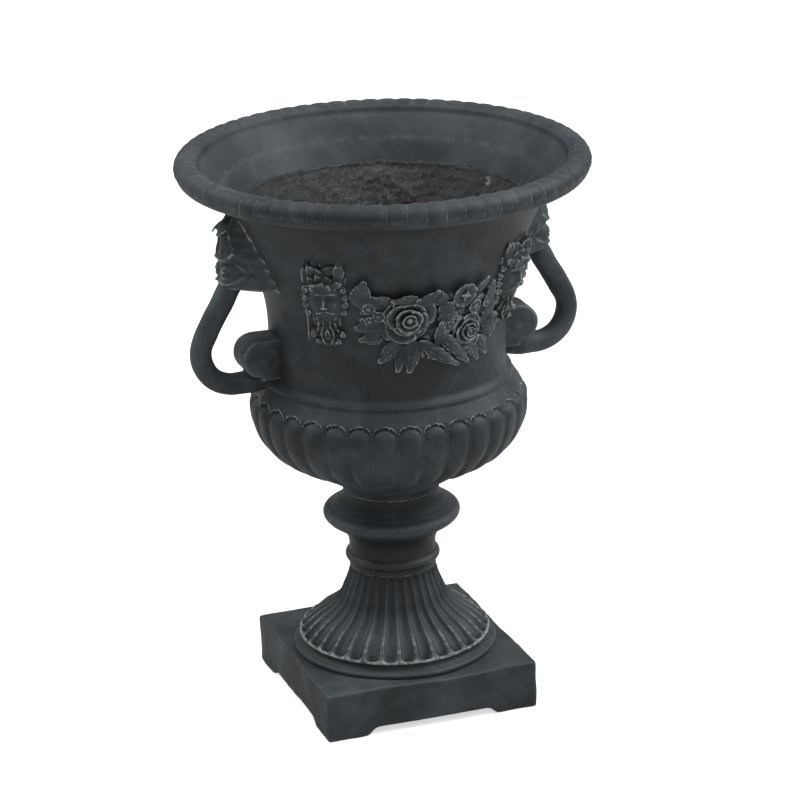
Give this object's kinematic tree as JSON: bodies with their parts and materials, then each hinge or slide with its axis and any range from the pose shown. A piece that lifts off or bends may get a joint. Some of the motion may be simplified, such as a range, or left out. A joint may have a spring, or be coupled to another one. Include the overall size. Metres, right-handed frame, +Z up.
{
  "type": "urn planter",
  "caption": "Classical urn planter: square plinth, fluted pedestal, gadrooned bowl with rope rim, scrolled handles, garlands and masks; open well with drains.",
  "frame": {"origin": "middle of the underside of the plinth, on the floor", "axes": "+Z up along the turned axis; handles along X; front garland towards -Y"},
  "size_m": [0.4378, 0.4378, 0.61],
  "materials": {
    "charcoal_cast_stone": "matte, dry-brushed edges",
    "resin_fibre": "rough resin and fibre, semi-gloss",
    "zinc_steel": "zinc plated",
    "black_rubber": "matte"
  },
  "bodies": {
    "root": {"plinth": "charcoal_cast_stone", "pedestal": "charcoal_cast_stone", "bowl_shell": "charcoal_cast_stone", "fibre_lining": "resin_fibre", "handle_dowels": "zinc_steel", "tie_rod": "zinc_steel", "clamp_plates": "zinc_steel", "clamp_nuts": "zinc_steel", "floor_gasket": "black_rubber", "left_handle": "charcoal_cast_stone", "left_leaf_mount": "charcoal_cast_stone", "right_handle": "charcoal_cast_stone", "right_leaf_mount": "charcoal_cast_stone", "front_left_mask": "charcoal_cast_stone", "front_right_mask": "charcoal_cast_stone", "front_festoon": "charcoal_cast_stone", "front_roses": "charcoal_cast_stone", "front_blossoms": "charcoal_cast_stone", "back_left_mask": "charcoal_cast_stone", "back_right_mask": "charcoal_cast_stone", "back_festoon": "charcoal_cast_stone", "back_roses": "charcoal_cast_stone", "back_blossoms": "charcoal_cast_stone"}
  },
  "joints": []
}
